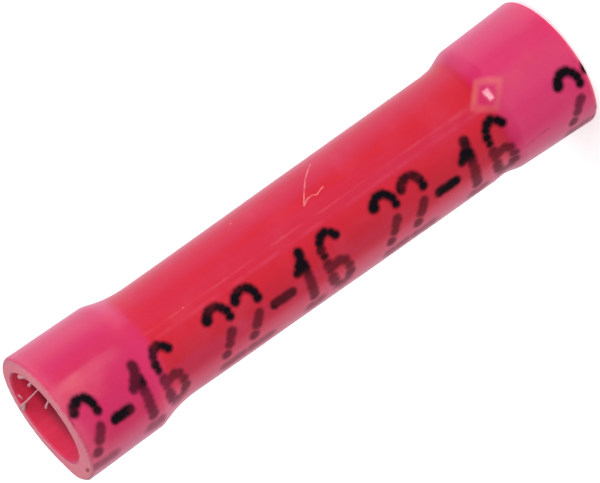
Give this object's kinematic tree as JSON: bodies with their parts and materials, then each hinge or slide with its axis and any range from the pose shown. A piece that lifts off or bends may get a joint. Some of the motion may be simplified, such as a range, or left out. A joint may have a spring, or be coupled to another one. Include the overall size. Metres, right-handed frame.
{
  "type": "butt splice connector",
  "caption": "Insulated butt splice: a tinned copper crimp barrel with a wire stop inside a red vinyl sleeve whose flared ends take the wires' insulation.",
  "frame": {"origin": "centre of the lower cut end of the sleeve, where the splice stands on its end", "axes": "+Z along the splice's axis, from the lower mouth to the upper mouth; the barrel's butted seam lies on the +X side"},
  "size_m": [0.0058, 0.0056, 0.025],
  "materials": {
    "red_vinyl": "slightly translucent soft vinyl, satin gloss",
    "tinned_copper": "tin plated copper, satin"
  },
  "bodies": {
    "root": {"insulation_sleeve": "red_vinyl", "crimp_barrel": "tinned_copper"}
  },
  "joints": []
}
